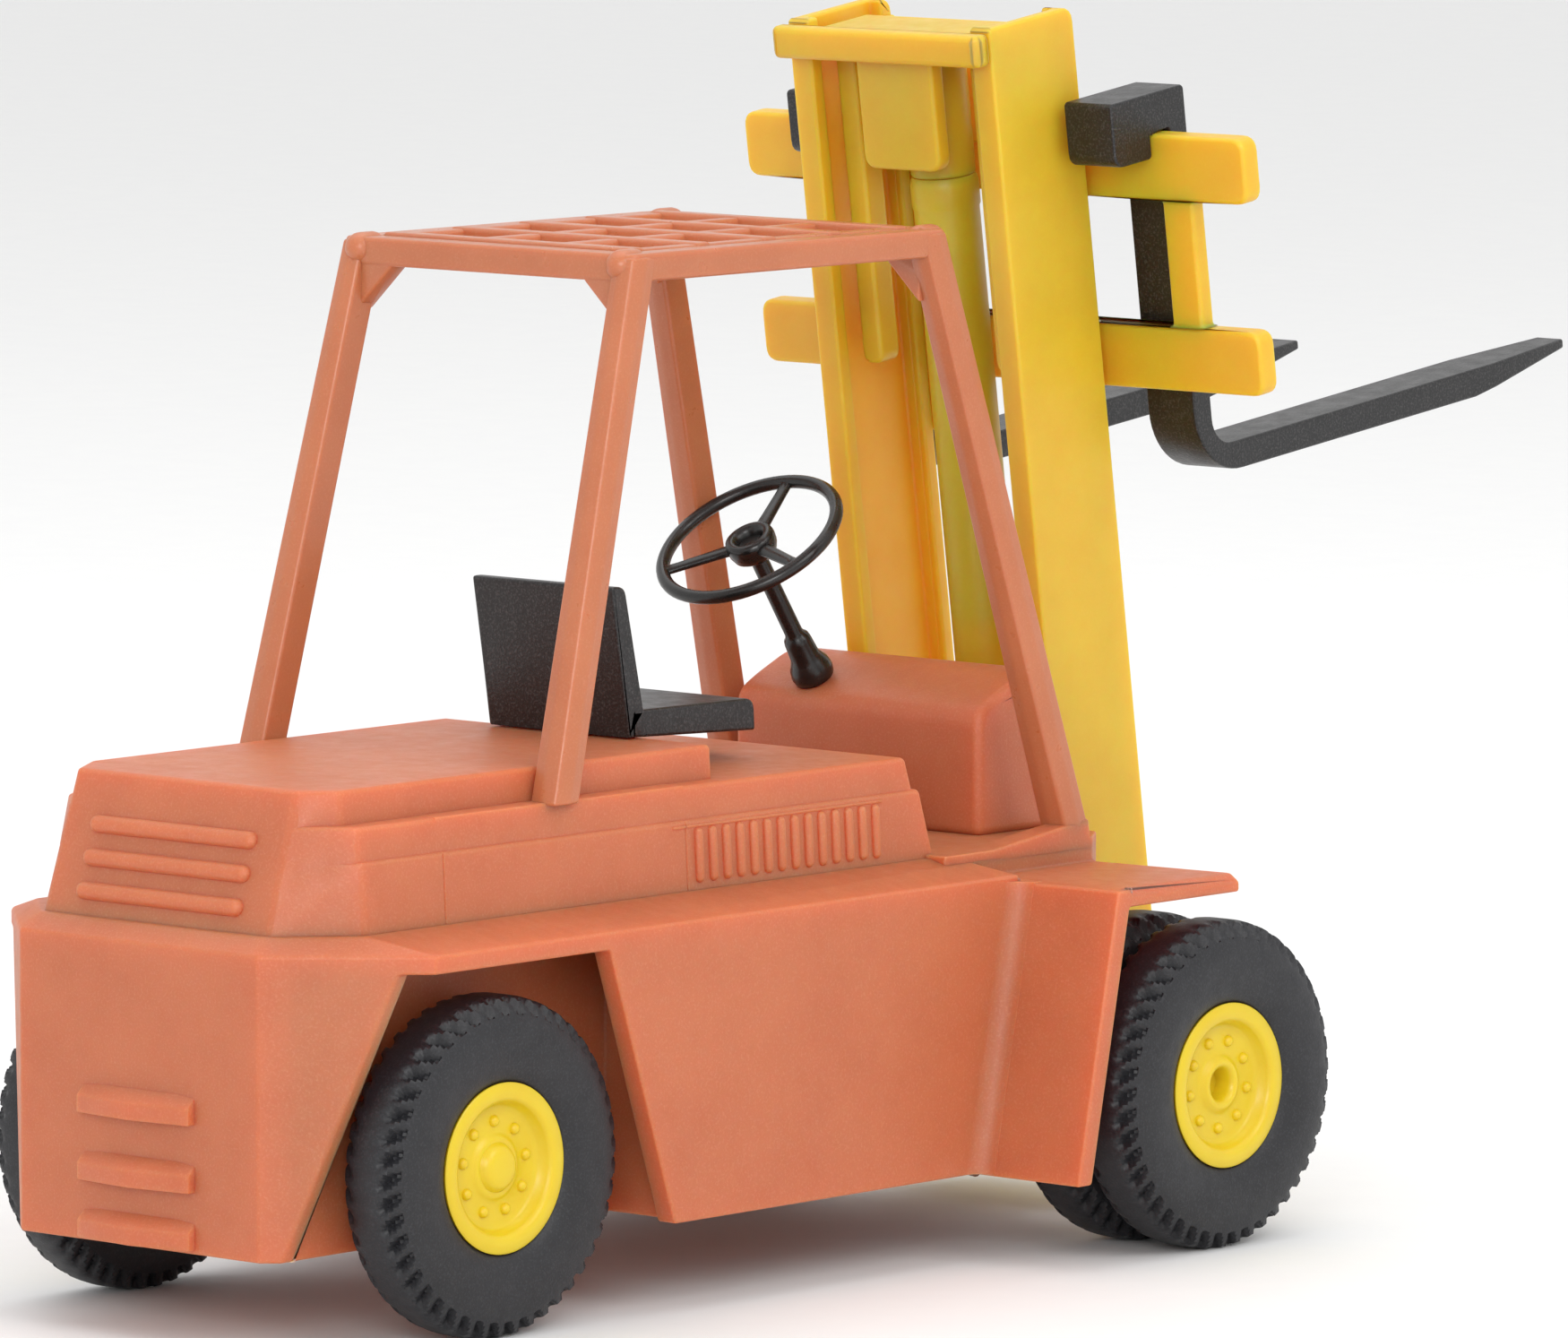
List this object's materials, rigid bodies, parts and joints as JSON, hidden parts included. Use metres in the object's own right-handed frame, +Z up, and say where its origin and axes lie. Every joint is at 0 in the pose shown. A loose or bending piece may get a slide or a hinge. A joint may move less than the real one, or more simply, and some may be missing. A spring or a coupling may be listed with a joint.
{
  "type": "toy forklift",
  "caption": "Small-scale toy forklift truck with twin front wheels, an open driver's guard, a leaning two-stage mast, a fork carriage and sliding forks.",
  "frame": {"origin": "on the ground, in the middle of the overall width and of the overall length from the counterweight's ribs to the fork tips", "axes": "+Z up, -Y forward towards the fork tips, -X the vehicle's right side"},
  "size_m": [0.0242, 0.0558, 0.0353],
  "materials": {
    "body_orange": "fine matt moulding grain",
    "guard_orange": "smooth semi-gloss moulding",
    "mast_yellow": "smooth satin moulding",
    "black_plastic": "fine-grained satin moulding",
    "tyre": "matt",
    "steel": "drawn wire"
  },
  "bodies": {
    "chassis": {"lower_body": "body_orange", "hood": "body_orange", "cab_floor": "body_orange", "dash_panel": "body_orange", "chassis_plate": "body_orange", "roof_guard": "guard_orange", "roof_grille": "guard_orange", "seat": "black_plastic", "steering_column": "black_plastic", "rear_axle_housing": "body_orange", "rear_axle": "steel", "front_axle": "steel", "mast_bracket": "body_orange", "mast_pivot_pin": "steel"},
    "steering_wheel": {"steering_wheel": "black_plastic"},
    "rear_wheel_left": {"rear_left_tyre": "tyre", "rear_left_rim": "mast_yellow"},
    "rear_wheel_right": {"rear_right_tyre": "tyre", "rear_right_rim": "mast_yellow"},
    "front_wheels_left": {"front_left_inner_tyre": "tyre", "front_left_inner_rim": "mast_yellow", "front_left_outer_tyre": "tyre", "front_left_outer_rim": "mast_yellow"},
    "front_wheels_right": {"front_right_inner_tyre": "tyre", "front_right_inner_rim": "mast_yellow", "front_right_outer_tyre": "tyre", "front_right_outer_rim": "mast_yellow"},
    "outer_mast": {"outer_mast": "mast_yellow", "lift_barrel": "mast_yellow"},
    "inner_mast": {"inner_mast": "mast_yellow", "lift_rod": "steel"},
    "carriage": {"carriage": "mast_yellow"},
    "fork_left": {"fork_left": "black_plastic"},
    "fork_right": {"fork_right": "black_plastic"}
  },
  "joints": [
    {"name": "steering_spin", "type": "hinge", "parent": "chassis", "child": "steering_wheel", "pos_m": [0.0026, -0.00063, 0.01988], "axis": [0, 0.5592, 0.829], "continuous": true},
    {"name": "rear_left_spin", "type": "hinge", "parent": "chassis", "child": "rear_wheel_left", "pos_m": [0, 0.02082, 0.00475], "axis": [1, 0, 0], "continuous": true},
    {"name": "rear_right_spin", "type": "hinge", "parent": "chassis", "child": "rear_wheel_right", "pos_m": [0, 0.02082, 0.00475], "axis": [1, 0, 0], "continuous": true},
    {"name": "front_left_spin", "type": "hinge", "parent": "chassis", "child": "front_wheels_left", "pos_m": [0, -0.00507, 0.00475], "axis": [1, 0, 0], "continuous": true},
    {"name": "front_right_spin", "type": "hinge", "parent": "chassis", "child": "front_wheels_right", "pos_m": [0, -0.00507, 0.00475], "axis": [1, 0, 0], "continuous": true},
    {"name": "mast_tilt", "type": "hinge", "parent": "chassis", "child": "outer_mast", "pos_m": [0, -0.00707, 0.005], "axis": [1, 0, 0], "range_deg": [0, 10]},
    {"name": "inner_mast_slide", "type": "slide", "parent": "outer_mast", "child": "inner_mast", "axis": [0, 0.1392, 0.9903], "range_m": [0, 0.007]},
    {"name": "carriage_slide", "type": "slide", "parent": "outer_mast", "child": "carriage", "axis": [0, 0.1392, 0.9903], "range_m": [-0.018, 0.0015]},
    {"name": "fork_left_shift", "type": "slide", "parent": "carriage", "child": "fork_left", "axis": [1, 0, 0], "range_m": [-0.0002, 0.003]},
    {"name": "fork_right_shift", "type": "slide", "parent": "carriage", "child": "fork_right", "axis": [-1, 0, 0], "range_m": [-0.0002, 0.003]}
  ]
}
